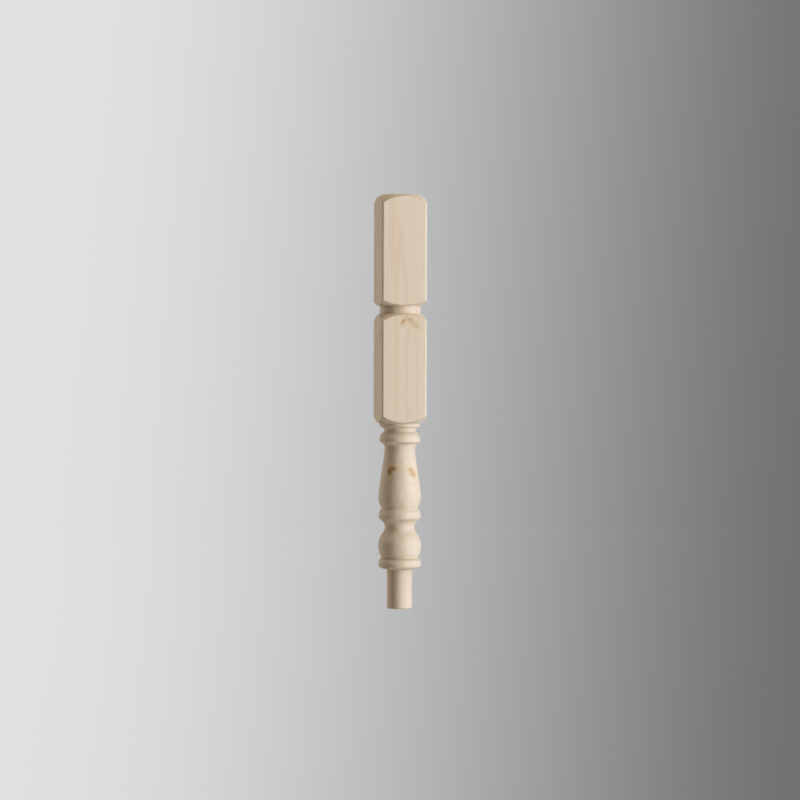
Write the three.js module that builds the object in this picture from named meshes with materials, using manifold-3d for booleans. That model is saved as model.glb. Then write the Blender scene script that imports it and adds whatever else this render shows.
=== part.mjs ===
// A newel post: one length of pine, planed square and then turned.
//
// The turner starts from a square timber with eased arrises and cuts the round members into it. So the
// post is what two shapes have in common: the square timber, and the solid that the turning tool sweeps
// round the axis. Where the swept solid is wider than the timber the post stays square, and where it is
// narrower the post is round. The arched line at the end of each flat face comes from that by itself.
//
// Millimetres. +Z is up. The origin is the centre of the spigot's flat end, and the flat faces look along
// X and Y.

import * as THREE from 'three';
import * as BufferGeometryUtils from 'three/addons/utils/BufferGeometryUtils.js';
import Module from 'manifold-3d';

// The timber
const HEIGHT = 820;
const SQUARE = 90;
const ARRIS_RADIUS = 4;

// The spigot, which is glued into the base of the stair
const SPIGOT = { radius: 25, length: 78.5, ease: 1.5 };

// The turned foot, from the bottom up. Each member has its heights and its widest or narrowest radius.
const BASE_RING = { seat: 29, radius: 42.2, middle: 87.5, top: 99.5 };
const BALL = { foot: 35.5, radius: 42.5, middle: 123.5, top: 151, topRadius: 32.5 };
const COVE = { bow: -3.75, top: 173, topRadius: 34 };
const RING = { lip: 41.3, bottom: 179, radius: 42, middle: 181.5, top: 199 };
const VASE = { foot: 36, radius: 42.3, middle: 221 };
const VASE_NECK = { radius: 30.5, bottom: 314.5, top: 318, straight: 0.55 };
const OVOLO = { flare: 34.5, flareTop: 328, radius: 40.4, bottom: 331, middle: 334, top: 351, neck: 31.2 };
const FILLET = { flare: 34.5, flareTop: 359.5, radius: 40, bottom: 361.5, top: 367.5 };

// The two blocks, and the neck with its shallow bead between them. At each end of a block, a turned
// shoulder curves out from the neck to BLOCK_REACH, which is just beyond the arrises.
const LOWER_BLOCK = { bottom: 383, top: 568.5 };
const MIDDLE_NECK = { bottom: 584.5, top: 600, radius: 39.5, bead: 1.4 };
const UPPER_BLOCK = { bottom: 611, top: 801 };
const BLOCK_REACH = 63;
const SHOULDER_BOW = 1.2;
const TOP_DISC_RADIUS = 36.5;

// How finely the curves are cut into flats
const SIDES = 48;
const ARRIS_STEPS = 3;
const STEPS = { bead: 5, ball: 7, cove: 8, taper: 10, flare: 4, shoulder: 5 };

const wasm = await Module();
wasm.setup();

// The outline of the turned solid, as points of radius and height. Each curve starts from the last point.
// `uprightAt` is the end of a curve, 'start' or 'end', where it runs straight up, as a bead does at its
// widest part.
class Outline {
  points = [];

  to(radius, height) {
    this.points.push(new THREE.Vector2(radius, height));
    return this;
  }

  // A quarter of an ellipse
  quarter(radius, height, uprightAt, steps) {
    return this.ellipse(radius, height, uprightAt, steps, Math.PI / 2);
  }

  // The part of a circle that is upright at one end and meets the other end at whatever slope it has there
  round(radius, height, uprightAt, steps) {
    const start = this.points.at(-1);
    const turn = 2 * Math.atan2(Math.abs(radius - start.x), height - start.y);
    return this.ellipse(radius, height, uprightAt, steps, turn);
  }

  ellipse(radius, height, uprightAt, steps, turn) {
    const start = this.points.at(-1);
    const across = (radius - start.x) / (1 - Math.cos(turn));
    const along = (height - start.y) / Math.sin(turn);
    for (let step = 1; step <= steps; step += 1) {
      const angle = (turn * step) / steps;
      if (uprightAt === 'start') {
        this.to(start.x + across * (1 - Math.cos(angle)), start.y + along * Math.sin(angle));
      } else {
        const left = turn - angle;
        this.to(radius - across * (1 - Math.cos(left)), height - along * Math.sin(left));
      }
    }
    return this;
  }

  // A shallow curve that stands `bow` proud of the straight line. A negative bow makes a hollow.
  bowed(radius, height, bow, steps) {
    const start = this.points.at(-1);
    const end = new THREE.Vector2(radius, height);
    const outward = new THREE.Vector2(end.y - start.y, start.x - end.x).normalize();
    for (let step = 1; step <= steps; step += 1) {
      const along = step / steps;
      const proud = 4 * bow * along * (1 - along);
      this.points.push(start.clone().lerp(end, along).addScaledVector(outward, proud));
    }
    return this;
  }

  // The long side of the vase. `straight` is how much of it is a straight line: the rest leaves the belly
  // upright and straightens up again at the neck.
  taper(radius, height, straight, steps) {
    const start = this.points.at(-1);
    for (let step = 1; step <= steps; step += 1) {
      const along = step / steps;
      const share = THREE.MathUtils.lerp(THREE.MathUtils.smoothstep(along, 0, 1), along, straight);
      this.to(THREE.MathUtils.lerp(start.x, radius, share), THREE.MathUtils.lerp(start.y, height, along));
    }
    return this;
  }
}

function turnedOutline() {
  const outline = new Outline();

  // Spigot, with its end eased, up to the flat seat that rests on the base
  outline.to(0, 0).to(SPIGOT.radius - SPIGOT.ease, 0).to(SPIGOT.radius, SPIGOT.ease);
  outline.to(SPIGOT.radius, SPIGOT.length).to(BASE_RING.seat, SPIGOT.length);

  // Base ring and ball
  outline.quarter(BASE_RING.radius, BASE_RING.middle, 'end', STEPS.bead);
  outline.quarter(BALL.foot, BASE_RING.top, 'start', STEPS.bead);
  outline.round(BALL.radius, BALL.middle, 'end', STEPS.ball);
  outline.round(BALL.topRadius, BALL.top, 'start', STEPS.ball);

  // Cove, and the ring with its sharp lower lip
  outline.bowed(COVE.topRadius, COVE.top, COVE.bow, STEPS.cove);
  outline.to(RING.lip, RING.bottom).to(RING.radius, RING.middle);
  outline.round(VASE.foot, RING.top, 'start', STEPS.bead);

  // Vase
  outline.round(VASE.radius, VASE.middle, 'end', STEPS.bead);
  outline.taper(VASE_NECK.radius, VASE_NECK.bottom, VASE_NECK.straight, STEPS.taper);
  outline.to(VASE_NECK.radius, VASE_NECK.top);

  // Ovolo with its sharp lower lip, over a small flare
  outline.quarter(OVOLO.flare, OVOLO.flareTop, 'start', STEPS.flare);
  outline.to(OVOLO.radius, OVOLO.bottom).to(OVOLO.radius, OVOLO.middle);
  outline.round(OVOLO.neck, OVOLO.top, 'start', STEPS.bead);

  // Fillet below the lower block, over a small flare
  outline.quarter(FILLET.flare, FILLET.flareTop, 'start', STEPS.flare);
  outline.to(FILLET.radius, FILLET.bottom).to(FILLET.radius, FILLET.top);

  // Lower block
  outline.bowed(BLOCK_REACH, LOWER_BLOCK.bottom, SHOULDER_BOW, STEPS.shoulder);
  outline.to(BLOCK_REACH, LOWER_BLOCK.top);
  outline.bowed(MIDDLE_NECK.radius, MIDDLE_NECK.bottom, SHOULDER_BOW, STEPS.shoulder);

  // Neck with its bead
  outline.bowed(MIDDLE_NECK.radius, MIDDLE_NECK.top, MIDDLE_NECK.bead, STEPS.bead);

  // Upper block and the flat disc on top
  outline.bowed(BLOCK_REACH, UPPER_BLOCK.bottom, SHOULDER_BOW, STEPS.shoulder);
  outline.to(BLOCK_REACH, UPPER_BLOCK.top);
  outline.bowed(TOP_DISC_RADIUS, HEIGHT, SHOULDER_BOW, STEPS.shoulder);
  outline.to(0, HEIGHT);
  return outline.points;
}

function turnedSolid() {
  const lathe = new THREE.LatheGeometry(turnedOutline(), SIDES);
  lathe.rotateX(Math.PI / 2);
  return toManifold(lathe);
}

// A square with an arc at each corner
function squareSection() {
  const flat = SQUARE / 2 - ARRIS_RADIUS;
  const corners = [[flat, -flat], [flat, flat], [-flat, flat], [-flat, -flat]];
  const section = new THREE.Shape();
  corners.forEach(([x, y], corner) => {
    const start = ((corner - 1) * Math.PI) / 2;
    section.absarc(x, y, ARRIS_RADIUS, start, start + Math.PI / 2);
  });
  return section;
}

function squareTimber() {
  const options = { depth: HEIGHT, bevelEnabled: false, curveSegments: ARRIS_STEPS };
  return toManifold(new THREE.ExtrudeGeometry(squareSection(), options));
}

function toManifold(geometry) {
  geometry.deleteAttribute('normal');
  geometry.deleteAttribute('uv');
  const merged = BufferGeometryUtils.mergeVertices(geometry);
  const vertProperties = new Float32Array(merged.attributes.position.array);
  const triVerts = new Uint32Array(merged.index.array);
  return new wasm.Manifold(new wasm.Mesh({ numProp: 3, vertProperties, triVerts }));
}

function toGeometry(manifold) {
  const mesh = manifold.getMesh();
  const geometry = new THREE.BufferGeometry();
  geometry.setAttribute('position', new THREE.BufferAttribute(mesh.vertProperties, 3));
  geometry.setIndex(new THREE.BufferAttribute(mesh.triVerts, 1));
  geometry.computeVertexNormals();
  return geometry;
}

// Pale raw pine, planed and turned but not finished
const pine = new THREE.MeshStandardMaterial({ color: 0xdcc6ab, roughness: 0.62, metalness: 0 });

const post = new THREE.Mesh(toGeometry(squareTimber().intersect(turnedSolid())), pine);
post.name = 'newel_post';

const newel = new THREE.Group();
newel.add(post);

export default newel;
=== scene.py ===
# %% [markdown]
# # A turned newel post
#
# A newel is the strong post that carries a stair's handrail. This one is a single length of pine. It was
# planed square, its long edges were eased, and then the round parts were turned on a lathe. The flat faces
# that are left over are where the rails are fixed.
#
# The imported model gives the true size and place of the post, and this lesson dresses it. It sets up the
# camera and a plain studio, builds a smooth version of the post with Geometry Nodes, and gives it the look
# of raw pine: growth rings, fibres, knots and the marks of the tools.

import math
from typing import NamedTuple

import bpy
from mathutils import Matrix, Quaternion, Vector


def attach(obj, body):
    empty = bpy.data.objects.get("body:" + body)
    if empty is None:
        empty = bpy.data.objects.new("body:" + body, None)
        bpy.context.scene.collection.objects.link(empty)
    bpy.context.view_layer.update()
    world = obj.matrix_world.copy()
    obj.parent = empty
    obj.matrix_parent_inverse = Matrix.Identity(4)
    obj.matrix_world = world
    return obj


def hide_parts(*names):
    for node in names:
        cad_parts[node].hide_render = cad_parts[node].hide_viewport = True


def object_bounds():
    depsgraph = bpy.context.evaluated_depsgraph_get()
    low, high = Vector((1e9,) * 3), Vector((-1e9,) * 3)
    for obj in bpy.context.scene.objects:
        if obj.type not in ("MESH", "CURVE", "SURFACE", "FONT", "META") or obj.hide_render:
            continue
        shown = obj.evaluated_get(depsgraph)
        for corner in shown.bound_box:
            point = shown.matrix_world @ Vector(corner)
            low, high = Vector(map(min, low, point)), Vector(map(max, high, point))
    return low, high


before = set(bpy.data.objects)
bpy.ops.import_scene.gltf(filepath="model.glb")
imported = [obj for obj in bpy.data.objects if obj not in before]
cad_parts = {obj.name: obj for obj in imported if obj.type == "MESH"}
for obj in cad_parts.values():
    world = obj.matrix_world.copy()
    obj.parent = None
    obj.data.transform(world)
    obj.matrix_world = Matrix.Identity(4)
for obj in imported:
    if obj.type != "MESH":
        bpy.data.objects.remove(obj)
cad_low, cad_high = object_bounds()
MM = 0.001
post_height = cad_high.z - cad_low.z
post_width = cad_high.x - cad_low.x
print("the post is", round(post_height / MM), "mm tall and", round(post_width / MM), "mm square")

# %% [markdown]
# ## Camera
#
# The photographer stood almost five metres away, with a long lens at about the height of the lower block,
# and looked down by one degree. From so far away the rings of the turning look almost like straight lines.
# The post was turned so that its left face just shows. A photo's own geometry tells the lens's focal length
# in pixels, and Blender wants it in millimetres on a 36 mm sensor, so one is worked out from the other.

# %% Camera
PICTURE_PX = 800
FOCAL_PX = 2400
SENSOR_MM = 36
CAMERA_AZIMUTH = -11.5
CAMERA_ELEVATION = 1.098
CAMERA_DISTANCE = 4.764
CAMERA_AIM = Vector((0.0002, 0, 0.4136))
CAMERA_ROLL = 0.15


def direction(azimuth, elevation):
    """A unit vector. Azimuth 0 points at the viewer in front of the post, along -Y, and 90 to the right."""
    turn = math.radians(azimuth)
    lift = math.radians(elevation)
    level = math.cos(lift)
    return Vector((math.sin(turn) * level, -math.cos(turn) * level, math.sin(lift)))


towards_camera = direction(CAMERA_AZIMUTH, CAMERA_ELEVATION)
camera_data = bpy.data.cameras.new("camera")
camera_data.sensor_width = SENSOR_MM
camera_data.lens = FOCAL_PX * SENSOR_MM / PICTURE_PX
camera = bpy.data.objects.new("camera", camera_data)
camera.location = CAMERA_AIM + towards_camera * CAMERA_DISTANCE
camera.rotation_mode = "QUATERNION"
roll = Quaternion((0, 0, 1), math.radians(CAMERA_ROLL))
camera.rotation_quaternion = (-towards_camera).to_track_quat("-Z", "Y") @ roll
bpy.context.scene.collection.objects.link(camera)
bpy.context.scene.camera = camera
print("the lens is", round(camera_data.lens), "mm")
print("the camera is at", [round(metres, 3) for metres in camera.location])

# %% [markdown]
# ## Node trees
#
# Both the shape and the finish are node trees, so one helper is worth having. It adds a node, sets its
# properties and fills its inputs. An input takes a number, a socket, or a whole node, and a whole node means
# its first output in use. A Mix node has a pair of inputs called A and B for each kind of value, so those
# are picked by number.

# %% Helper that adds a node
MATH = "ShaderNodeMath"
VECTOR = "ShaderNodeVectorMath"
RANGE = "ShaderNodeMapRange"
MIX = "ShaderNodeMix"
NUMBER_A, NUMBER_B = 2, 3
COLOUR_A, COLOUR_B = 6, 7


def add(tree, kind, inputs=None, **settings):
    """Adds a node. `inputs` maps an input's name or number to a value, a socket or a node."""
    made = tree.nodes.new(kind)
    for name, value in settings.items():
        setattr(made, name, value)
    for key, value in (inputs or {}).items():
        if isinstance(value, bpy.types.Node):
            value = next(output for output in value.outputs if output.enabled)
        if isinstance(value, bpy.types.NodeSocket):
            tree.links.new(value, made.inputs[key])
        else:
            made.inputs[key].default_value = value
    return made


# %% [markdown]
# Colours are written as the hex values that a picture shows. Blender calculates in linear light, so a
# second helper turns one into the other. The sRGB standard gives the rule: a power curve, with a short
# straight toe for the darkest values.

# %% Helper for colours
TOE_END = 0.04045
TOE_SLOPE = 12.92
CURVE_OFFSET = 0.055
CURVE_POWER = 2.4


def linear(hex_colour):
    """An sRGB colour such as '#DCC6AB' as linear red, green, blue and alpha."""
    channels = []
    for start in (1, 3, 5):
        shown = int(hex_colour[start:start + 2], 16) / 255
        on_curve = ((shown + CURVE_OFFSET) / (1 + CURVE_OFFSET)) ** CURVE_POWER
        channels.append(shown / TOE_SLOPE if shown <= TOE_END else on_curve)
    return (*channels, 1)


print("mid grey is", [round(channel, 3) for channel in linear("#808080")])

# %% [markdown]
# ## Studio
#
# The post stands in a seamless bowl: a round floor that curves up into a wall, so that no corner shows
# from any side. The bowl takes no part in lighting the post: it neither blocks the softboxes, which reach
# below the floor, nor throws its own grey fade onto the wood.

# %% Outline of the studio bowl, in metres
FLOOR_RADIUS = 5.5
FLOOR_RINGS = (0.1, 0.4, 0.7, 1)
BEND_RADIUS = 2.0
BEND_STEPS = 16
WALL_TOP = 8.0
QUARTER_TURN = math.pi / 2


def bowl_outline():
    """Radius and height of each ring of the bowl, from the middle of the floor up to the rim."""
    rings = [(FLOOR_RADIUS * share, 0) for share in FLOOR_RINGS]
    for step in range(1, BEND_STEPS + 1):
        angle = QUARTER_TURN * step / BEND_STEPS
        rings.append((FLOOR_RADIUS + BEND_RADIUS * math.sin(angle), BEND_RADIUS * (1 - math.cos(angle))))
    rings.append((FLOOR_RADIUS + BEND_RADIUS, WALL_TOP))
    return rings


print("the bowl's outline has", len(bowl_outline()), "rings")

# %% Studio bowl
BOWL_SIDES = 96


def bowl_mesh():
    rings = bowl_outline()
    points = [(0, 0, 0)]
    for radius, height in rings:
        for side in range(BOWL_SIDES):
            angle = math.tau * side / BOWL_SIDES
            points.append((radius * math.cos(angle), radius * math.sin(angle), height))
    faces = [(0, 1 + side, 1 + (side + 1) % BOWL_SIDES) for side in range(BOWL_SIDES)]
    for ring in range(len(rings) - 1):
        low = 1 + ring * BOWL_SIDES
        for side in range(BOWL_SIDES):
            following = (side + 1) % BOWL_SIDES
            faces.append((low + side, low + BOWL_SIDES + side, low + BOWL_SIDES + following, low + following))
    mesh = bpy.data.meshes.new("studio_bowl")
    mesh.from_pydata(points, [], faces)
    mesh.shade_smooth()
    return mesh


bowl = bpy.data.objects.new("studio_bowl", bowl_mesh())
bowl.visible_diffuse = False
bowl.visible_glossy = False
bowl.visible_shadow = False
bpy.context.scene.collection.objects.link(bowl)
print("the bowl has", len(bowl.data.polygons), "faces")

# %% [markdown]
# ### Backdrop
#
# The bowl is covered with matt grey paper, which shows no reflections. The picture's backdrop fades from
# light grey on the left to mid grey on the right. Light that falls off across a real backdrop does that,
# but here the fade is part of the paper's own colour.
#
# It depends on the direction in which a point lies from the photographer's spot. That direction is written
# as two slopes, to the side and upwards, for each metre over the floor. FADE_SOFTENING keeps the metres
# from shrinking to nothing right below that spot.

# %% Direction from the photographer's spot
FADE_SOFTENING = 0.5
WITHOUT_HEIGHT = (1, 1, 0)
backdrop = bpy.data.materials.new("grey_backdrop_paper")
backdrop.use_nodes = True
paper = backdrop.node_tree
paper.nodes.clear()
picture_right = direction(CAMERA_AZIMUTH + 90, 0)
picture_depth = -direction(CAMERA_AZIMUTH, 0)
spot = add(paper, "ShaderNodeTexCoord").outputs["Object"]
away = add(paper, VECTOR, {0: spot, 1: camera.location}, operation="SUBTRACT")
level = add(paper, VECTOR, {0: away, 1: WITHOUT_HEIGHT}, operation="MULTIPLY")
sideways = add(paper, VECTOR, {0: level, 1: picture_right}, operation="DOT_PRODUCT").outputs["Value"]
forwards = add(paper, VECTOR, {0: level, 1: picture_depth}, operation="DOT_PRODUCT").outputs["Value"]
lifted = add(paper, VECTOR, {0: level, 1: (0, 0, FADE_SOFTENING)}, operation="ADD")
reach = add(paper, VECTOR, {0: lifted}, operation="LENGTH").outputs["Value"]
rise = add(paper, "ShaderNodeSeparateXYZ", {0: away}).outputs["Z"]
bearing = add(paper, MATH, {0: sideways, 1: reach}, operation="DIVIDE")
lift = add(paper, MATH, {0: rise, 1: reach}, operation="DIVIDE")
print("the picture's right is along", [round(share, 2) for share in picture_right])

# %% [markdown]
# The fade follows the sideways slope, so it runs straight up the picture over floor and wall alike. A small
# share of the upward slope makes it lean: lower down, the dark side reaches further left. Outside the
# picture the paper is an even pale grey, because the fade would look like a stain from other sides.

# %% Fade across the picture
BACKDROP_LIGHT = "#E2E2E2"
BACKDROP_DARK = "#6E6E6E"
FADE = {"From Min": -0.158, "From Max": 0.2}
FADE_TILT = 0.05
tilted = add(paper, MATH, {0: lift, 1: -FADE_TILT, 2: bearing}, operation="MULTIPLY_ADD")
fade = add(paper, RANGE, {"Value": tilted, **FADE}, interpolation_type="SMOOTHSTEP")
faded = add(
    paper, MIX,
    {"Factor": fade, COLOUR_A: linear(BACKDROP_LIGHT), COLOUR_B: linear(BACKDROP_DARK)},
    data_type="RGBA",
)
print("the backdrop fades from", BACKDROP_LIGHT, "to", BACKDROP_DARK)

# %% Even grey outside the picture
BACKDROP_ELSEWHERE = "#D2D2D2"
PICTURE_EDGE = {"From Min": 0.17, "From Max": 0.32}
FALLING = {"To Min": 1, "To Max": 0}
NEARLY_ZERO = 0.01
ahead = add(paper, MATH, {0: forwards, 1: NEARLY_ZERO}, operation="MAXIMUM")
slant = add(paper, MATH, {0: sideways, 1: ahead}, operation="DIVIDE")
off_centre = add(paper, MATH, {0: slant}, operation="ABSOLUTE")
in_picture = add(
    paper, RANGE, {"Value": off_centre, **PICTURE_EDGE, **FALLING}, interpolation_type="SMOOTHSTEP"
)
tone = add(
    paper, MIX,
    {"Factor": in_picture, COLOUR_A: linear(BACKDROP_ELSEWHERE), COLOUR_B: faded},
    data_type="RGBA",
)
print("outside the picture the backdrop is", BACKDROP_ELSEWHERE)

# %% [markdown]
# The paper is slightly darker below the photographer's eye than above it: that is painted shade, as the
# fade across it is painted light falloff. Most of its brightness is a faint glow of its own, which keeps
# it even. The rest is ordinary diffuse paint, which lets the post cast a soft shadow at its foot.

# %% Backdrop paper
DARKER_BELOW = 0.06
GLOW_SHARE = 0.99
# painted shade: the paper's colour is darkened below the eye and lightened above it
shading = add(paper, MATH, {0: lift, 1: DARKER_BELOW, 2: 1}, operation="MULTIPLY_ADD")
shaded = add(paper, VECTOR, {0: tone, "Scale": shading}, operation="SCALE")
paint = add(paper, "ShaderNodeBsdfDiffuse", {"Color": shaded})
glow = add(paper, "ShaderNodeEmission", {"Color": shaded})
mixed = add(paper, "ShaderNodeMixShader", {0: GLOW_SHARE, 1: paint, 2: glow})
add(paper, "ShaderNodeOutputMaterial", {"Surface": mixed})
bowl.data.materials.append(backdrop)
print("the paper has", len(paper.nodes), "nodes")

# %% [markdown]
# ## Light
#
# A tall, slightly cool softbox stands to the right of the post and does most of the work, with a warmer one
# beside it, nearer to the camera. Another stands on the left and a little behind, and only the left edge
# and the left face catch it. Between the two sides lies a strip just left of the middle that only a very
# weak front light reaches, and that darker strip is what makes the turned parts look round.
#
# The boxes are very tall and reach far below the floor as well as above it. A white studio floor throws
# light back up in the same way, so the undersides of the rings are nearly as light as their fronts.
# A small box high up lights the shoulders and the top. The one behind the post lights what the picture
# doesn't show: from the other sides the back would be too dark without it.
#
# The Standard view transform shows each tone as it is. Blender's usual one bends the tones as film does.

# %% Light
SOFTBOX_DISTANCE = 2.2
SOFTBOX_HEIGHT = 7


def softbox(name, azimuth, elevation, size, watts, colour):
    """An area light aimed at the middle of the post. Azimuth is measured from the camera, to the right."""
    data = bpy.data.lights.new(name, "AREA")
    data.shape = "RECTANGLE"
    data.size, data.size_y = size
    data.energy = watts
    data.color = linear(colour)[:3]
    box = bpy.data.objects.new(name, data)
    towards_box = direction(CAMERA_AZIMUTH + azimuth, elevation)
    box.location = Vector((0, 0, post_height / 2)) + towards_box * SOFTBOX_DISTANCE
    box.rotation_euler = towards_box.to_track_quat("Z", "Y").to_euler()
    box.visible_camera = False
    bpy.context.scene.collection.objects.link(box)


softbox("key_softbox", 68, 0, (0.9, SOFTBOX_HEIGHT), 87, "#E9F5FF")
softbox("warm_softbox", 35, 0, (0.7, SOFTBOX_HEIGHT), 41, "#FFF9E3")
softbox("front_softbox", -20, 0, (0.6, SOFTBOX_HEIGHT), 2.5, "#FFE9C0")
softbox("edge_softbox", -117, 0, (0.7, SOFTBOX_HEIGHT), 53, "#FFF9E9")
softbox("back_softbox", 165, 5, (0.9, SOFTBOX_HEIGHT), 48, "#FFFFFF")
softbox("top_softbox", 20, 70, (1.2, 1.2), 6, "#FFE6BE")

# %% Light from all round
AMBIENT = {"Color": linear("#FFE9CC"), "Strength": 0.02}
surroundings = bpy.data.worlds.new("studio")
surroundings.use_nodes = True
air = surroundings.node_tree
air.nodes.clear()
add(air, "ShaderNodeOutputWorld", {"Surface": add(air, "ShaderNodeBackground", AMBIENT)})
bpy.context.scene.world = surroundings
bpy.context.scene.view_settings.view_transform = "Standard"
print("the light from all round has strength", AMBIENT["Strength"])

# %% [markdown]
# ## Outline of the turning
#
# A turner works from an outline. Each member of it has a name: fillet, ovolo, vase, cove, ball and bead.
# The outline could be a traced curve with many points, but then nobody could change a size. So each member
# is a formula between two named sizes, in millimetres from the axis and from the spigot's end, and the
# number of steps along it can be as fine as the picture needs.

# %% Sizes of the post in millimetres
SQUARE = 90
ARRIS_RADIUS = 4
HEIGHT = post_height / MM
SPIGOT = {"radius": 25, "length": 78.5, "ease": 1.5}
BASE_RING = {"seat": 29, "radius": 42.2, "middle": 87.5, "top": 99.5}
BALL = {"foot": 35.5, "radius": 42.5, "middle": 123.5, "top": 151, "top_radius": 32.5}
COVE = {"bow": -3.75, "top": 173, "top_radius": 34}
RING = {"lip": 41.3, "bottom": 179, "radius": 42, "middle": 181.5, "top": 199}
VASE = {"foot": 36, "radius": 42.3, "middle": 221}
VASE_NECK = {"radius": 30.5, "bottom": 314.5, "top": 318, "straight": 0.55}
OVOLO = {"radius": 40.4, "bottom": 331, "middle": 334, "top": 351, "neck": 31.2}
OVOLO_FLARE = {"radius": 34.5, "top": 328}
FILLET = {"radius": 40, "bottom": 361.5, "top": 367.5}
FILLET_FLARE = {"radius": 34.5, "top": 359.5}
LOWER_BLOCK = {"bottom": 383, "top": 568.5}
MIDDLE_NECK = {"bottom": 584.5, "top": 600, "radius": 39.5, "bead": 1.4}
UPPER_BLOCK = {"bottom": 611, "top": 801}
BLOCK_REACH = 63
SHOULDER_BOW = 1.2
TOP_DISC_RADIUS = 36.5
print("the timber is", SQUARE, "mm square and", round(HEIGHT), "mm long")


# %% Round curves of the outline
def part_of_ellipse(outline, radius, height, upright_at, steps, turn):
    """Runs from the last point to (radius, height) and is upright at its 'start' or its 'end'."""
    start_radius, start_height = outline[-1]
    across = (radius - start_radius) / (1 - math.cos(turn))
    along = (height - start_height) / math.sin(turn)
    for step in range(1, steps + 1):
        angle = turn * step / steps
        left = turn - angle
        if upright_at == "start":
            place = (start_radius + across * (1 - math.cos(angle)), start_height + along * math.sin(angle))
        else:
            place = (radius - across * (1 - math.cos(left)), height - along * math.sin(left))
        outline.append(place)


def quarter(outline, radius, height, upright_at, steps):
    """A quarter of an ellipse, as on a half-round bead."""
    part_of_ellipse(outline, radius, height, upright_at, steps, QUARTER_TURN)


def part_of_circle(outline, radius, height, upright_at, steps):
    """A true arc, upright at one end only, as on the ball."""
    start_radius, start_height = outline[-1]
    turn = 2 * math.atan2(abs(radius - start_radius), height - start_height)
    part_of_ellipse(outline, radius, height, upright_at, steps, turn)


# %% Long curves of the outline
TO_FULL_BOW = 4


def blend(start, end, share):
    return start + (end - start) * share


def bowed(outline, radius, height, bow, steps):
    """Stands `bow` proud of the straight line at its middle, or hollow where `bow` is negative.

    There share * (1 - share) is a quarter, and TO_FULL_BOW brings it up to one."""
    start = Vector(outline[-1])
    end = Vector((radius, height))
    outward = Vector((end.y - start.y, start.x - end.x)).normalized()
    for step in range(1, steps + 1):
        share = step / steps
        outline.append(tuple(start.lerp(end, share) + outward * TO_FULL_BOW * bow * share * (1 - share)))


def taper(outline, radius, height, straight, steps):
    """The long side of the vase, which leaves the belly upright and is upright again at the neck."""
    start_radius, start_height = outline[-1]
    for step in range(1, steps + 1):
        share = step / steps
        slow_at_ends = share * share * (3 - 2 * share)
        across = blend(slow_at_ends, share, straight)
        outline.append((blend(start_radius, radius, across), blend(start_height, height, share)))


# %% [markdown]
# A sharp tool leaves crisp corners, and a quick rub with sandpaper eases them by less than a millimetre.
# That tiny round is what catches the light, so it is worth modelling. Each corner that turns by more than
# CORNER_ANGLE is replaced by a short curve. The slight turns between the steps of a curve stay as they are.

# %% Eased corners
EASE = 0.5
EASE_STEPS = 4
MOST_OF_AN_EDGE = 0.45
CORNER_ANGLE = math.radians(14)


def eased(outline):
    """The same outline, with each sharp corner turned into a short curve."""
    points = [Vector(p) for p in outline]
    made = [outline[0]]
    for before, corner, after in zip(points, points[1:], points[2:]):
        back = before - corner
        ahead = after - corner
        if (-back).angle(ahead) < CORNER_ANGLE:
            made.append(tuple(corner))
            continue
        first = corner + back * min(MOST_OF_AN_EDGE, EASE / back.length)
        last = corner + ahead * min(MOST_OF_AN_EDGE, EASE / ahead.length)
        for step in range(EASE_STEPS + 1):
            share = step / EASE_STEPS
            made.append(tuple(first.lerp(corner, share).lerp(corner.lerp(last, share), share)))
    made.append(outline[-1])
    return made


print("corners over", round(math.degrees(CORNER_ANGLE)), "degrees are eased by", EASE, "mm")

# %% Outline of the foot
STEPS = {"bead": 14, "ball": 20, "cove": 20, "taper": 36, "flare": 8, "spigot": 12, "disc": 6, "straight": 3}


def straight(outline, radius, height, steps=STEPS["straight"]):
    start_radius, start_height = outline[-1]
    for step in range(1, steps + 1):
        outline.append((blend(start_radius, radius, step / steps), blend(start_height, height, step / steps)))


def foot_outline():
    """From the middle of the spigot's end up to the fillet below the lower block."""
    outline = [(0, 0)]
    straight(outline, SPIGOT["radius"] - SPIGOT["ease"], 0)
    straight(outline, SPIGOT["radius"], SPIGOT["ease"])
    straight(outline, SPIGOT["radius"], SPIGOT["length"], STEPS["spigot"])
    straight(outline, BASE_RING["seat"], SPIGOT["length"])
    quarter(outline, BASE_RING["radius"], BASE_RING["middle"], "end", STEPS["bead"])
    quarter(outline, BALL["foot"], BASE_RING["top"], "start", STEPS["bead"])
    part_of_circle(outline, BALL["radius"], BALL["middle"], "end", STEPS["ball"])
    part_of_circle(outline, BALL["top_radius"], BALL["top"], "start", STEPS["ball"])
    bowed(outline, COVE["top_radius"], COVE["top"], COVE["bow"], STEPS["cove"])
    straight(outline, RING["lip"], RING["bottom"])
    straight(outline, RING["radius"], RING["middle"])
    part_of_circle(outline, VASE["foot"], RING["top"], "start", STEPS["bead"])
    part_of_circle(outline, VASE["radius"], VASE["middle"], "end", STEPS["bead"])
    taper(outline, VASE_NECK["radius"], VASE_NECK["bottom"], VASE_NECK["straight"], STEPS["taper"])
    straight(outline, VASE_NECK["radius"], VASE_NECK["top"])
    quarter(outline, OVOLO_FLARE["radius"], OVOLO_FLARE["top"], "start", STEPS["flare"])
    straight(outline, OVOLO["radius"], OVOLO["bottom"])
    straight(outline, OVOLO["radius"], OVOLO["middle"])
    part_of_circle(outline, OVOLO["neck"], OVOLO["top"], "start", STEPS["bead"])
    quarter(outline, FILLET_FLARE["radius"], FILLET_FLARE["top"], "start", STEPS["flare"])
    straight(outline, FILLET["radius"], FILLET["bottom"])
    straight(outline, FILLET["radius"], FILLET["top"])
    return eased(outline)


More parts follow.
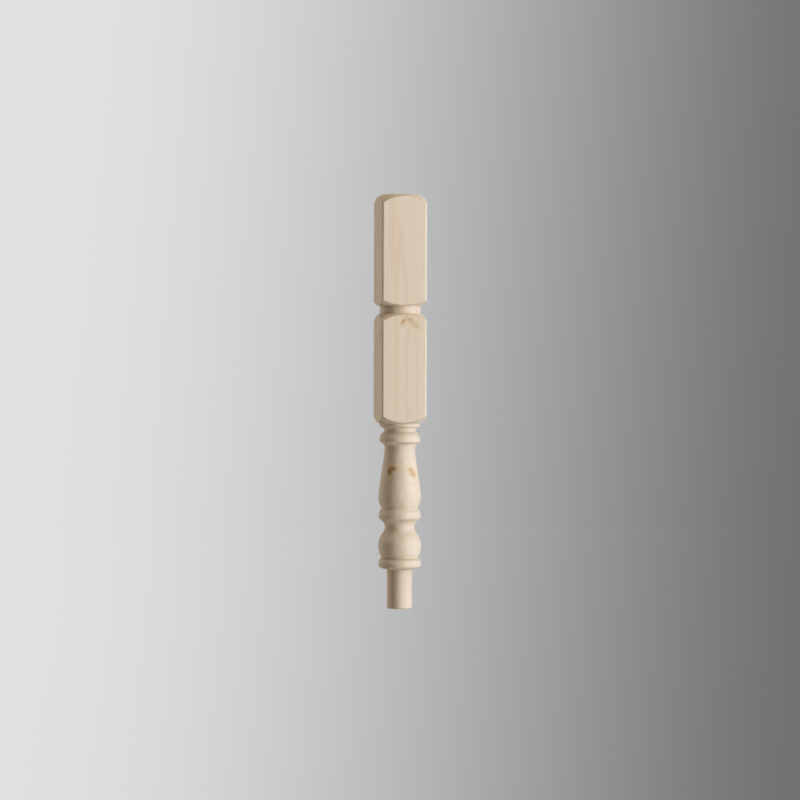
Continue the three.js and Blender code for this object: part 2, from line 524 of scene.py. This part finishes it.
foot = foot_outline()
neck = [(MIDDLE_NECK["radius"], MIDDLE_NECK["bottom"])]
bowed(neck, MIDDLE_NECK["radius"], MIDDLE_NECK["top"], MIDDLE_NECK["bead"], STEPS["bead"])
top_disc = [(TOP_DISC_RADIUS, HEIGHT)]
straight(top_disc, 0, HEIGHT, STEPS["disc"])
print("the foot's outline has", len(foot), "points, and the neck's", len(neck))

# %% [markdown]
# ## Rows
#
# The whole post is one grid, wrapped round the axis: its rows are rings and its columns run from the
# spigot to the top. Most rings are plain circles. In the blocks they follow the square, and at each end of
# a block a turned shoulder runs from the neck out to wherever it meets the flat face. That meeting line is
# the arch that the real post shows. If every row lay level, the arch would come out as a staircase, so
# here the rows bend with it. Extra rows, CRISP millimetres from the neck and on both sides of the arch, keep
# those lines sharp under smooth shading.
#
# One rule covers every row, with a few numbers for each:
# - `radius` and `height` say where the row would be as a plain circle,
# - `share` says how far it has gone from that circle to the square,
# - `corner` is the height where the shoulder would reach `BLOCK_REACH`, and `proud` how far it bulges,
# - `climb` says how far a row on the flat has gone from the arch to `middle`, halfway up the block.

# %% Rows of the grid
SHOULDER_STEPS = 14
BLOCK_STEPS = 8
CRISP = 0.4


class Row(NamedTuple):
    radius: float
    height: float
    share: float = 0
    corner: float = 0
    proud: float = 0
    middle: float = 0
    climb: float = 0


def half_block(radius, height, corner, middle):
    """The rows from the neck (radius, height) over the shoulder and on to the middle of the block."""
    across = BLOCK_REACH - radius
    slope = (corner - height) / across
    proud = -math.copysign(SHOULDER_BOW * math.hypot(1, slope), slope)
    near = CRISP / across
    shares = [0, near] + [step / SHOULDER_STEPS for step in range(1, SHOULDER_STEPS)] + [1 - near, 1]
    climbs = [CRISP / abs(middle - corner)] + [step / BLOCK_STEPS for step in range(1, BLOCK_STEPS + 1)]
    rows = [Row(radius, height, share, corner, proud, middle, 0) for share in shares]
    return rows + [Row(radius, height, 1, corner, proud, middle, climb) for climb in climbs]


def block_rows(below, block, above):
    """All rows of a block. `below` and `above` are the radius and height of the necks at its ends."""
    middle = (block["bottom"] + block["top"]) / 2
    lower_half = half_block(*below, block["bottom"], middle)
    upper_half = half_block(*above, block["top"], middle)
    return lower_half + upper_half[-2::-1]


rows = [Row(*point) for point in foot[:-1]]
rows += block_rows(foot[-1], LOWER_BLOCK, neck[0])
rows += [Row(*point) for point in neck[1:-1]]
rows += block_rows(neck[-1], UPPER_BLOCK, top_disc[0])
rows += [Row(*point) for point in top_disc[1:]]
print("the grid has", len(rows), "rows")

# %% [markdown]
# A node tree can't read a Python list, but it can read a mesh. So each row becomes a point whose place is
# its radius and height, and its other numbers become attributes.

# %% Rows as a mesh that the node tree can read
UNIT_OF = {"share": 1, "corner": MM, "proud": MM, "middle": MM, "climb": 1}
row_mesh = bpy.data.meshes.new("newel_rows")
row_mesh.from_pydata([(row.radius * MM, 0, row.height * MM) for row in rows], [], [])
for name, unit in UNIT_OF.items():
    column = row_mesh.attributes.new(name, "FLOAT", "POINT")
    column.data.foreach_set("value", [getattr(row, name) * unit for row in rows])
newel = bpy.data.objects.new("pine_newel", row_mesh)
bpy.context.scene.collection.objects.link(newel)
print("row attributes:", [attribute.name for attribute in row_mesh.attributes])

# %% [markdown]
# ## Geometry Nodes tree
#
# The tree makes a flat grid and moves each point to its place. The point's number gives its row and its
# column. The column walks once round the square: along a flat face, round an arris, along the next face.
# That walk gives the column's direction from the axis and how far out the timber reaches there, and the
# row's numbers do the rest.
#
# The tree's inputs are the sizes of the timber and the number of columns. The half width is a thousandth of
# a millimetre short, so that rounding can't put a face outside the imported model.

# %% Tree and its named inputs
HAIR = 0.001
FACE_COLUMNS = 34
ARRIS_COLUMNS = 8
shaper = bpy.data.node_groups.new("Turned and squared post", "GeometryNodeTree")
shaper.interface.new_socket("Rows", in_out="INPUT", socket_type="NodeSocketGeometry")
inputs_wanted = {
    "Half width": ("NodeSocketFloat", (SQUARE / 2 - HAIR) * MM),
    "Arris radius": ("NodeSocketFloat", ARRIS_RADIUS * MM),
    "Reach": ("NodeSocketFloat", BLOCK_REACH * MM),
    "Columns on a face": ("NodeSocketInt", FACE_COLUMNS),
    "Columns on an arris": ("NodeSocketInt", ARRIS_COLUMNS),
    "Finish": ("NodeSocketMaterial", None),
}
for name, (kind, _) in inputs_wanted.items():
    shaper.interface.new_socket(name, in_out="INPUT", socket_type=kind)
shaper.interface.new_socket("Post", in_out="OUTPUT", socket_type="NodeSocketGeometry")
given = add(shaper, "NodeGroupInput").outputs
print("inputs of the tree:", [socket.name for socket in given if socket.name])

# %% Row and column of each point
COUNT = "FunctionNodeIntegerMath"
SIDES = 4
row_count = add(shaper, "GeometryNodeAttributeDomainSize", {0: given["Rows"]}).outputs["Point Count"]
face_columns = given["Columns on a face"]
arris_columns = given["Columns on an arris"]
side_columns = add(shaper, COUNT, {0: face_columns, 1: arris_columns}, operation="ADD")
column_count = add(shaper, COUNT, {0: side_columns, 1: SIDES, 2: 1}, operation="MULTIPLY_ADD")
grid = add(shaper, "GeometryNodeMeshGrid", {"Vertices X": column_count, "Vertices Y": row_count})
number = add(shaper, "GeometryNodeInputIndex")
column = add(shaper, COUNT, {0: number, 1: row_count}, operation="DIVIDE_FLOOR")
row = add(shaper, COUNT, {0: number, 1: row_count}, operation="MODULO")
side = add(shaper, COUNT, {0: column, 1: side_columns}, operation="DIVIDE_FLOOR")
step_on_side = add(shaper, COUNT, {0: column, 1: side_columns}, operation="MODULO")
print("the grid has", SIDES * (FACE_COLUMNS + ARRIS_COLUMNS) + 1, "columns, and two meet at the seam")

# %% Direction of each column, and how far the timber reaches there
on_face = add(shaper, MATH, {0: step_on_side, 1: face_columns}, operation="DIVIDE", use_clamp=True)
past_face = add(shaper, COUNT, {0: step_on_side, 1: face_columns}, operation="SUBTRACT")
on_arris = add(shaper, MATH, {0: past_face, 1: arris_columns}, operation="DIVIDE", use_clamp=True)
arris_angle = add(shaper, MATH, {0: on_arris, 1: QUARTER_TURN}, operation="MULTIPLY")
half_flat = add(shaper, MATH, {0: given["Half width"], 1: given["Arris radius"]}, operation="SUBTRACT")
minus_half_flat = add(shaper, MATH, {0: half_flat, 1: -1}, operation="MULTIPLY")
cosine = add(shaper, MATH, {0: arris_angle}, operation="COSINE")
sine = add(shaper, MATH, {0: arris_angle}, operation="SINE")
along_face = add(shaper, RANGE, {"Value": on_face, "To Min": minus_half_flat, "To Max": half_flat})
out = add(shaper, MATH, {0: cosine, 1: given["Arris radius"], 2: half_flat}, operation="MULTIPLY_ADD")
across = add(shaper, MATH, {0: sine, 1: given["Arris radius"], 2: along_face}, operation="MULTIPLY_ADD")
section_point = add(shaper, "ShaderNodeCombineXYZ", {"X": out, "Y": across})
timber_reach = add(shaper, VECTOR, {0: section_point}, operation="LENGTH").outputs["Value"]
angle_on_side = add(shaper, MATH, {0: across, 1: out}, operation="ARCTAN2")
angle = add(shaper, MATH, {0: side, 1: QUARTER_TURN, 2: angle_on_side}, operation="MULTIPLY_ADD")
print("a side of the square has", FACE_COLUMNS, "steps of flat and", ARRIS_COLUMNS, "of arris")

# %% Numbers of each row
row_place = add(shaper, "ShaderNodeSeparateXYZ", {0: add(shaper, "GeometryNodeInputPosition")})
fields = {"radius": row_place.outputs["X"], "height": row_place.outputs["Z"]}
for name in UNIT_OF:
    fields[name] = add(shaper, "GeometryNodeInputNamedAttribute", {"Name": name}, data_type="FLOAT")
table = {}
for name, field in fields.items():
    wanted = {"Geometry": given["Rows"], "Value": field, "Index": row}
    table[name] = add(shaper, "GeometryNodeSampleIndex", wanted)
print("read from the rows:", sorted(table))

# %% [markdown]
# A point's distance from the axis is blended from the circle to the timber. How far it has gone towards
# `Reach` gives the shoulder's height there: a straight line from the neck to the corner, and a hump that
# makes it bulge.

# %% Distance from the axis, and the shoulder's height there
radius = add(shaper, MIX, {"Factor": table["share"], NUMBER_A: table["radius"], NUMBER_B: timber_reach})
past_neck = add(shaper, MATH, {0: radius, 1: table["radius"]}, operation="SUBTRACT")
shoulder_width = add(shaper, MATH, {0: given["Reach"], 1: table["radius"]}, operation="SUBTRACT")
over_shoulder = add(shaper, MATH, {0: past_neck, 1: shoulder_width}, operation="DIVIDE")
straight_line = add(
    shaper, MIX,
    {"Factor": over_shoulder, NUMBER_A: table["height"], NUMBER_B: table["corner"]},
    clamp_factor=False,
)
rest_of_shoulder = add(shaper, MATH, {0: 1, 1: over_shoulder}, operation="SUBTRACT")
hump = add(shaper, MATH, {0: over_shoulder, 1: rest_of_shoulder}, operation="MULTIPLY")
full_hump = add(shaper, MATH, {0: hump, 1: TO_FULL_BOW}, operation="MULTIPLY")
on_shoulder = add(shaper, MATH, {0: full_hump, 1: table["proud"], 2: straight_line}, operation="MULTIPLY_ADD")
print("a shoulder reaches", BLOCK_REACH, "mm from the axis and bulges by", SHOULDER_BOW, "mm")

# %% Place of each point
height = add(shaper, MIX, {"Factor": table["climb"], NUMBER_A: on_shoulder, NUMBER_B: table["middle"]})
rightwards = add(shaper, MATH, {0: angle}, operation="COSINE")
backwards = add(shaper, MATH, {0: angle}, operation="SINE")
x = add(shaper, MATH, {0: radius, 1: rightwards}, operation="MULTIPLY")
y = add(shaper, MATH, {0: radius, 1: backwards}, operation="MULTIPLY")
place = add(shaper, "ShaderNodeCombineXYZ", {"X": x, "Y": y, "Z": height})
wrapped = add(shaper, "GeometryNodeSetPosition", {"Geometry": grid.outputs["Mesh"], "Position": place})
print("nodes so far:", len(shaper.nodes))

# %% [markdown]
# Two facts about each point are worth keeping for the finish. `turned` is 1 where the lathe tool cut and 0
# on the planed flats. `end_grain` is high where the surface lies across the fibres, as on the top disc and
# the steep shoulders. Raw wood is darker there, because the open pores swallow the light.

# %% Close the seam and keep what the finish needs
CLOSE = 0.004 * MM
STORE = "GeometryNodeStoreNamedAttribute"
turned = add(shaper, MATH, {0: 1, 1: table["share"]}, operation="SUBTRACT")
marked = add(shaper, STORE, {"Geometry": wrapped, "Name": "turned", "Value": turned})
closed = add(shaper, "GeometryNodeMergeByDistance", {"Geometry": marked, "Distance": CLOSE})
smooth = add(shaper, "GeometryNodeSetShadeSmooth", {"Geometry": closed})
normal = add(shaper, "ShaderNodeSeparateXYZ", {0: add(shaper, "GeometryNodeInputNormal")})
steepness = add(shaper, MATH, {0: normal.outputs["Z"]}, operation="ABSOLUTE")
graded = add(shaper, STORE, {"Geometry": smooth, "Name": "end_grain", "Value": steepness})
realized = add(shaper, "GeometryNodeRealizeInstances", {"Geometry": graded})
finished = add(shaper, "GeometryNodeSetMaterial", {"Geometry": realized, "Material": given["Finish"]})
add(shaper, "NodeGroupOutput", {0: finished})
print("the tree has", len(shaper.nodes), "nodes")

# %% [markdown]
# ## Raw pine
#
# The finish on the real post is none at all: planed and turned pine, straight from the lathe. It is a pale
# cream wood with faint growth rings, and its bare surface is matt, with no more than a broad, weak sheen.
# Where the surface cuts the rings at a slant they show as bands, and where it cuts straight through them
# they show as fine lines. A flat picture wrapped round the post could not do that. So the material works
# the way a tree does. It asks of each point how far it lies from the pith, and that distance says which
# ring the point belongs to. The same rule then draws upright lines on the flat faces and ovals on the
# turned members.

# %% Places in the wood, in millimetres
NOISE = "ShaderNodeTexNoise"
pine = bpy.data.materials.new("planed_and_turned_raw_pine")
pine.use_nodes = True
wood = pine.node_tree
wood.nodes.clear()
object_place = add(wood, "ShaderNodeTexCoord").outputs["Object"]
place_mm = add(wood, VECTOR, {0: object_place, "Scale": 1 / MM}, operation="SCALE")
height_mm = add(wood, "ShaderNodeSeparateXYZ", {0: place_mm}).outputs["Z"]
print("one millimetre is", MM, "of the frame's units")

# %% [markdown]
# ### Knots
#
# A knot is the foot of a branch. It starts at the pith and runs outwards, and where the tool cuts through
# it, it leaves an oval. Its rim is darker than its heart. Pine grows its branches in whorls, several at one
# height, about 30 cm apart. This post has one whorl in the vase and one at the top of the lower block. Only
# the front and the left face are in the picture, so the knots further round are made up to match.
#
# A small node group measures how near a point is to a branch, in radii of its oval, and it is used once for
# each knot. It gives a second distance that reaches further up and down, for the grain that flows round.
# A branch ends at the pith, so on the far side of it both distances are raised by FAR_AWAY.

# %% Node group that measures the distance from a branch
FLOW_SQUEEZE = 0.35
FAR_AWAY = 50
branch = bpy.data.node_groups.new("Branch", "ShaderNodeTree")
for name in ("Place", "Centre", "Course", "Long side", "Short side"):
    branch.interface.new_socket(name, in_out="INPUT", socket_type="NodeSocketVector")
for name in ("Pith depth", "Radius"):
    branch.interface.new_socket(name, in_out="INPUT", socket_type="NodeSocketFloat")
for name in ("Distance", "Flow distance"):
    branch.interface.new_socket(name, in_out="OUTPUT", socket_type="NodeSocketFloat")
asked = add(branch, "NodeGroupInput").outputs
from_centre = add(branch, VECTOR, {0: asked["Place"], 1: asked["Centre"]}, operation="SUBTRACT")
lengthways = add(branch, VECTOR, {0: from_centre, 1: asked["Long side"]}, operation="DOT_PRODUCT")
crossways = add(branch, VECTOR, {0: from_centre, 1: asked["Short side"]}, operation="DOT_PRODUCT")
on_oval = {"X": lengthways.outputs["Value"], "Y": crossways.outputs["Value"]}
section = add(branch, "ShaderNodeCombineXYZ", on_oval)
in_radii = add(branch, VECTOR, {0: section}, operation="LENGTH").outputs["Value"]
squeezed = add(branch, VECTOR, {0: from_centre, 1: (1, 1, FLOW_SQUEEZE)}, operation="MULTIPLY")
beside = add(branch, VECTOR, {0: squeezed, 1: asked["Course"]}, operation="CROSS_PRODUCT")
off_course = add(branch, VECTOR, {0: beside}, operation="LENGTH").outputs["Value"]
flow_in_radii = add(branch, MATH, {0: off_course, 1: asked["Radius"]}, operation="DIVIDE")
outwards = add(branch, VECTOR, {0: from_centre, 1: asked["Course"]}, operation="DOT_PRODUCT")
depth = add(branch, MATH, {0: 0, 1: outwards.outputs["Value"]}, operation="SUBTRACT")
past_pith = add(branch, MATH, {0: depth, 1: asked["Pith depth"]}, operation="GREATER_THAN")
distance = add(branch, MATH, {0: past_pith, 1: FAR_AWAY, 2: in_radii}, operation="MULTIPLY_ADD")
flow = add(branch, MATH, {0: past_pith, 1: FAR_AWAY, 2: flow_in_radii}, operation="MULTIPLY_ADD")
add(branch, "NodeGroupOutput", {"Distance": distance, "Flow distance": flow})
print("the group measures from", [socket.name for socket in asked if socket.name])

# %% Knots of the two whorls
PITH = Vector((-5, 10, 0))
UP = Vector((0, 0, 1))
HALF = SQUARE / 2


class Knot(NamedTuple):
    """A knot in millimetres and degrees. `lean` is the slope of its long side, up to the right.

    `long` and `short` are the radii of its oval. `rim` and `heart` say how strongly it is stained there."""
    x: float
    y: float
    z: float
    long: float
    short: float
    lean: float
    rim: float
    heart: float


KNOTS = [
    Knot(-25.2, -25.3, 273, 4.2, 6.5, 0, 0.85, 0.85),
    Knot(-20.5, -29.2, 278, 8, 3.8, 10, 0.78, 0.78),
    Knot(18.9, -30.4, 271, 9, 5, -52, 0.75, 0.3),
    Knot(34.5, 11, 268, 8, 5, 20, 0.7, 0.5),
    Knot(-12, 34, 273, 9, 5, -35, 0.85, 0.7),
    Knot(-2.5, -HALF, 569, 7, 3, 48, 0.65, 0.65),
    Knot(3, -HALF, 577, 7, 2.2, 80, 0.3, 0.3),
    Knot(11, -HALF, 572, 7, 4, -25, 0.42, 0.42),
    Knot(19.5, -HALF, 563, 9, 5, -45, 0.34, 0.28),
    Knot(-HALF, -27, 543.5, 8, 6, 88, 0.3, 0.3),
    Knot(HALF, 12, 562, 9, 4.5, 30, 0.6, 0.4),
    Knot(4, HALF, 566, 10, 4, -20, 0.7, 0.5),
]
print("the wood has", len(KNOTS), "knots")


# %% Branch of each knot
def branch_inputs(knot):
    """What the node group needs to know about a knot's branch, which runs level from the pith."""
    inside = Vector((knot.x, knot.y, 0)) - PITH
    course = inside.normalized()
    to_the_right = UP.cross(course)
    lean = math.radians(knot.lean)
    long_side = to_the_right * math.cos(lean) + UP * math.sin(lean)
    short_side = UP * math.cos(lean) - to_the_right * math.sin(lean)
    return {
        "Centre": Vector((knot.x, knot.y, knot.z)), "Course": course,
        "Long side": long_side / knot.long, "Short side": short_side / knot.short,
        "Pith depth": inside.length, "Radius": math.sqrt(knot.long * knot.short),
    }


print("the first branch is", round(branch_inputs(KNOTS[0])["Pith depth"]), "mm long")

# %% [markdown]
# A knot's oval is never quite even, so noise shifts the place a little before it is measured. Outwards from
# the middle, in radii of the oval, the stain goes from the heart's strength to the rim's and then fades.
# The wood round a knot is soaked with resin, which tints it orange over a wider ring.

# %% Stain and resin of the knots
WAVER_MM = 1.6
WAVER_LENGTH_MM = 7
NOISE_MIDDLE = (0.5, 0.5, 0.5)
HEART_TO_RIM = {"From Min": 0.3, "From Max": 0.8}
RIM_TO_WOOD = {"From Min": 0.4, "From Max": 1.6}
RESIN_TO_WOOD = {"From Min": 1, "From Max": 2.8}
wavy = add(wood, NOISE, {"Vector": place_mm, "Scale": 1 / WAVER_LENGTH_MM, "Detail": 1.0})
waver = add(wood, VECTOR, {0: wavy.outputs["Color"], 1: NOISE_MIDDLE}, operation="SUBTRACT")
wavered = add(wood, VECTOR, {0: waver, "Scale": 2 * WAVER_MM}, operation="SCALE")
knot_place = add(wood, VECTOR, {0: place_mm, 1: wavered}, operation="ADD")
stain = 0.0
resin = 0.0
nearest_flow = FAR_AWAY
for knot in KNOTS:
    facts = {"Place": knot_place, **branch_inputs(knot)}
    measured = add(wood, "ShaderNodeGroup", facts, node_tree=branch).outputs
    radii = measured["Distance"]
    strength = add(wood, RANGE, {"Value": radii, **HEART_TO_RIM, "To Min": knot.heart, "To Max": knot.rim})
    edge = add(wood, RANGE, {"Value": radii, **RIM_TO_WOOD, **FALLING}, interpolation_type="SMOOTHSTEP")
    own_stain = add(wood, MATH, {0: strength, 1: edge}, operation="MULTIPLY")
    stain = add(wood, MATH, {0: stain, 1: own_stain}, operation="MAXIMUM")
    own_resin = add(
        wood, RANGE,
        {"Value": radii, **RESIN_TO_WOOD, "To Min": knot.rim, "To Max": 0},
        interpolation_type="SMOOTHSTEP",
    )
    resin = add(wood, MATH, {0: resin, 1: own_resin}, operation="MAXIMUM")
    nearest_flow = add(wood, MATH, {0: nearest_flow, 1: measured["Flow distance"]}, operation="MINIMUM")
print("a knot's resin reaches out to", RESIN_TO_WOOD["From Max"], "times its radius")

# %% [markdown]
# ### Growth rings
#
# The pith is never quite straight, the trunk tapers, and no year is like the next. So the distance from
# the pith is first bent a little by slow noise. Near a knot the rings swell outwards along the branch, and
# that makes the grain flow round it. Within one ring the pale early wood slowly turns into a darker line
# of late wood, and then the next year starts at once.

# %% Distance from the pith
SWAY_MM = 2.5
SWAY_LENGTH_MM = 420
sway = add(wood, NOISE, {"W": height_mm, "Scale": 1 / SWAY_LENGTH_MM, "Detail": 1.0}, noise_dimensions="1D")
sway_span = (2 * SWAY_MM, 2 * SWAY_MM, 0)
sway_start = (-SWAY_MM - PITH.x, -SWAY_MM - PITH.y, 0)
sway_mm = add(wood, VECTOR, {0: sway.outputs["Color"], 1: sway_span, 2: sway_start}, operation="MULTIPLY_ADD")
from_pith = add(wood, VECTOR, {0: place_mm, 1: sway_mm}, operation="ADD")
flattened = add(wood, VECTOR, {0: from_pith, 1: WITHOUT_HEIGHT}, operation="MULTIPLY")
pith_distance = add(wood, VECTOR, {0: flattened}, operation="LENGTH").outputs["Value"]
print("the pith sways by", SWAY_MM, "mm")

# %% Distance from the pith as the rings feel it
UNEVEN_MM = 2.4
UNEVEN_SIZE_MM = (45, 45, 900)
TAPER = 0.004
KNOT_SWELL_MM = 2.4
SWELL_SPAN = {"From Min": 0.2, "From Max": 3.0}
slow_place = add(wood, VECTOR, {0: place_mm, 1: [1 / size for size in UNEVEN_SIZE_MM]}, operation="MULTIPLY")
slow = add(wood, NOISE, {"Vector": slow_place, "Scale": 1.0, "Detail": 2.0})
uneven = add(wood, MATH, {0: slow, 1: 2 * UNEVEN_MM, 2: pith_distance}, operation="MULTIPLY_ADD")
tapered = add(wood, MATH, {0: height_mm, 1: TAPER, 2: uneven}, operation="MULTIPLY_ADD")
swell = add(
    wood, RANGE,
    {"Value": nearest_flow, **SWELL_SPAN, "To Min": -KNOT_SWELL_MM, "To Max": 0},
    interpolation_type="SMOOTHSTEP",
)
ring_distance = add(wood, MATH, {0: tapered, 1: swell}, operation="ADD")
print("a ring swells by up to", KNOT_SWELL_MM, "mm at a knot")

# %% Growth rings
RING_MM = 3.4
AUTUMN = {"From Min": 0.3, "From Max": 0.9}
WINTER = {"From Min": 0.9, "From Max": 1.0}
WEAKEST_YEAR = 0.25
years = add(wood, MATH, {0: ring_distance, 1: RING_MM}, operation="DIVIDE")
season = add(wood, MATH, {0: years}, operation="FRACT")
year = add(wood, MATH, {0: years}, operation="FLOOR")
autumn = add(wood, RANGE, {"Value": season, **AUTUMN}, interpolation_type="SMOOTHERSTEP")
winter = add(wood, RANGE, {"Value": season, **WINTER, **FALLING})
late_wood = add(wood, MATH, {0: autumn, 1: winter}, operation="MULTIPLY")
luck = add(wood, "ShaderNodeTexWhiteNoise", {"W": year}, noise_dimensions="1D")
vigour = add(wood, RANGE, {"Value": luck, "To Min": WEAKEST_YEAR, "To Max": 1.0})
ring_line = add(wood, MATH, {0: late_wood, 1: vigour}, operation="MULTIPLY")
print("a ring is", RING_MM, "mm wide")

# %% [markdown]
# ### Fibres and streaks
#
# Pine's fibres are a few hundredths of a millimetre across, far too fine for the picture. They are drawn
# as streaks about half a millimetre wide and a few centimetres long, which is as coarse as they need to be
# to show. Broader streaks of pinker and yellower wood run the length of the post, and one long pink streak
# stands on the left of the upper block's front face.

# %% Fibres and streaks
FIBRE_MM = (0.6, 0.6, 40)
STREAK_MM = (13, 13, 800)
PINK_SPAN = {"From Min": 0.4, "From Max": 0.66}
YELLOW_SPAN = {"From Min": 0.42, "From Max": 0.66}
fibre_place = add(wood, VECTOR, {0: place_mm, 1: [1 / size for size in FIBRE_MM]}, operation="MULTIPLY")
fibre = add(wood, NOISE, {"Vector": fibre_place, "Scale": 1.0, "Detail": 3.0})
streak_place = add(wood, VECTOR, {0: from_pith, 1: [1 / size for size in STREAK_MM]}, operation="MULTIPLY")
streak = add(wood, NOISE, {"Vector": streak_place, "Scale": 1.0, "Detail": 2.0, "Roughness": 0.6})
streak_parts = add(wood, "ShaderNodeSeparateColor", {0: streak.outputs["Color"]}).outputs
pinkness = add(wood, RANGE, {"Value": streak_parts["Red"], **PINK_SPAN})
yellowness = add(wood, RANGE, {"Value": streak_parts["Green"], **YELLOW_SPAN})
print("fibres are drawn", FIBRE_MM[0], "mm wide, and streaks", STREAK_MM[0], "mm")

# %% Long pink streak
LONG_STREAK = {"centre": (-24, -HALF, 730), "half_size": (8, 8, 130)}
LONG_STREAK_SPAN = {"From Min": 0.2, "From Max": 1.1}
from_streak = add(wood, VECTOR, {0: knot_place, 1: LONG_STREAK["centre"]}, operation="SUBTRACT")
per_half_size = [1 / size for size in LONG_STREAK["half_size"]]
in_streak = add(wood, VECTOR, {0: from_streak, 1: per_half_size}, operation="MULTIPLY")
off_streak = add(wood, VECTOR, {0: in_streak}, operation="LENGTH").outputs["Value"]
long_streak = add(
    wood, RANGE, {"Value": off_streak, **LONG_STREAK_SPAN, **FALLING}, interpolation_type="SMOOTHSTEP"
)
print("the long streak is", 2 * LONG_STREAK["half_size"][2], "mm tall")

# %% [markdown]
# ### Colour
#
# The colours are mixed in the order in which the wood has them. The sapwood is the palest, the heartwood
# near the pith is yellower, and pinker and yellower streaks lie over both. Then come late wood, fibres, end
# grain, the resin round the knots and the knots. Fresh pine is pale, and its rings differ from one another
# by only a few steps of grey: stronger ones would look like a printed pattern. They are clearer on end
# grain, where the cut lies across them.

# %% Colours of the clear wood
EARLY_WOOD = "#EBD9CA"
HEART_WOOD = "#E6CDB0"
PINK_WOOD = "#E8CDBC"
YELLOW_WOOD = "#E8D7BF"
LATE_WOOD = "#DCC4AC"
HEARTWOOD_MM = {"From Min": 20, "From Max": 42}
PINK_SHARE = 0.6
YELLOW_SHARE = 0.5
RING_SHARES = {"From Min": 0.4, "From Max": 1.0, "To Min": 0.36, "To Max": 1.3}
across_fibres = add(wood, "ShaderNodeAttribute", attribute_name="end_grain").outputs["Fac"]
in_heart = add(
    wood, RANGE, {"Value": pith_distance, **HEARTWOOD_MM, **FALLING}, interpolation_type="SMOOTHSTEP"
)
pink_share = add(wood, MATH, {0: pinkness, 1: PINK_SHARE}, operation="MULTIPLY")
yellow_share = add(wood, MATH, {0: yellowness, 1: YELLOW_SHARE}, operation="MULTIPLY")
ring_strength = add(wood, RANGE, {"Value": across_fibres, **RING_SHARES})
ring_share = add(wood, MATH, {0: ring_line, 1: ring_strength}, operation="MULTIPLY")
clear_wood = linear(EARLY_WOOD)
layers = [
    (in_heart, HEART_WOOD), (pink_share, PINK_WOOD), (yellow_share, YELLOW_WOOD), (long_streak, PINK_WOOD),
    (ring_share, LATE_WOOD),
]
for share, colour in layers:
    pair = {"Factor": share, COLOUR_A: clear_wood, COLOUR_B: linear(colour)}
    clear_wood = add(wood, MIX, pair, data_type="RGBA")
print("the clear wood has", len(layers), "layers over", EARLY_WOOD)

# %% Colours of the fibres, end grain and knots
FIBRE_TONES = {"From Min": 0.3, "From Max": 0.7, "To Min": 0.96, "To Max": 1.04}
END_GRAIN = "#CDB799"
END_GRAIN_SHARES = {"From Min": 0.25, "From Max": 1.0, "To Min": 0, "To Max": 0.5}
RESIN_WOOD = "#E9C59C"
RESIN_SHARE = 0.7
FAINT_KNOT = "#C39A68"
STRONG_KNOT = "#A57641"
fibre_tone = add(wood, RANGE, {"Value": fibre, **FIBRE_TONES})
fibred = add(wood, VECTOR, {0: clear_wood, "Scale": fibre_tone}, operation="SCALE")
open_pores = add(wood, RANGE, {"Value": across_fibres, **END_GRAIN_SHARES})
resin_share = add(wood, MATH, {0: resin, 1: RESIN_SHARE}, operation="MULTIPLY")
knot_pair = {"Factor": stain, COLOUR_A: linear(FAINT_KNOT), COLOUR_B: linear(STRONG_KNOT)}
knot_colour = add(wood, MIX, knot_pair, data_type="RGBA")
pine_colour = fibred
layers = [(open_pores, linear(END_GRAIN)), (resin_share, linear(RESIN_WOOD)), (stain, knot_colour)]
for share, colour in layers:
    pair = {"Factor": share, COLOUR_A: pine_colour, COLOUR_B: colour}
    pine_colour = add(wood, MIX, pair, data_type="RGBA")
print("a knot goes from", FAINT_KNOT, "to", STRONG_KNOT, "where its stain is strong")

# %% [markdown]
# ### Relief
#
# Late wood is harder, so it stands a hair proud of the early wood, and the fibres stand proud of the gaps
# between them. A gouge leaves fine rings round the turned parts. All of it is only hundredths of a
# millimetre deep, so a bump map is enough.

# %% Relief and shader
TOOL_MARK_MM = 1.1
RING_RELIEF = 0.5
TOOL_RELIEF = 0.9
RELIEF_MM = 0.06
RELIEF_STRENGTH = 0.35
BARE_WOOD = {"Roughness": 0.62, "IOR": 1.5}
turned_here = add(wood, "ShaderNodeAttribute", attribute_name="turned").outputs["Fac"]
tool_steps = {"W": height_mm, "Scale": 1 / TOOL_MARK_MM, "Detail": 1.0}
tool_ring = add(wood, NOISE, tool_steps, noise_dimensions="1D")
tool_mark = add(wood, MATH, {0: tool_ring, 1: turned_here}, operation="MULTIPLY")
raised = add(wood, MATH, {0: ring_line, 1: RING_RELIEF, 2: fibre}, operation="MULTIPLY_ADD")
surface_height = add(wood, MATH, {0: tool_mark, 1: TOOL_RELIEF, 2: raised}, operation="MULTIPLY_ADD")
relief_facts = {"Height": surface_height, "Strength": RELIEF_STRENGTH, "Distance": RELIEF_MM * MM}
relief = add(wood, "ShaderNodeBump", relief_facts)
shader = add(wood, "ShaderNodeBsdfPrincipled", {"Base Color": pine_colour, "Normal": relief, **BARE_WOOD})
add(wood, "ShaderNodeOutputMaterial", {"Surface": shader})
print("the pine has", len(wood.nodes), "nodes")

# %% [markdown]
# ## Make the post
#
# The modifier gets its inputs before the post is evaluated for the first time. Its result becomes a plain
# mesh, and the modifier goes.

# %% Make the post
modifier = newel.modifiers.new("turning", "NODES")
modifier.node_group = shaper
for item in shaper.interface.items_tree:
    if item.name in inputs_wanted:
        modifier[item.identifier] = pine if item.name == "Finish" else inputs_wanted[item.name][1]
made = bpy.data.meshes.new_from_object(newel.evaluated_get(bpy.context.evaluated_depsgraph_get()))
newel.modifiers.clear()
newel.data = made
made.name = "pine_newel"
triangles = sum(len(face.vertices) - 2 for face in made.polygons)
print("the post has", len(made.vertices), "points and", triangles, "triangles")

# %% Put the post in the frame
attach(newel, "root")
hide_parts("newel_post")
print(newel.name, "stands in for newel_post")
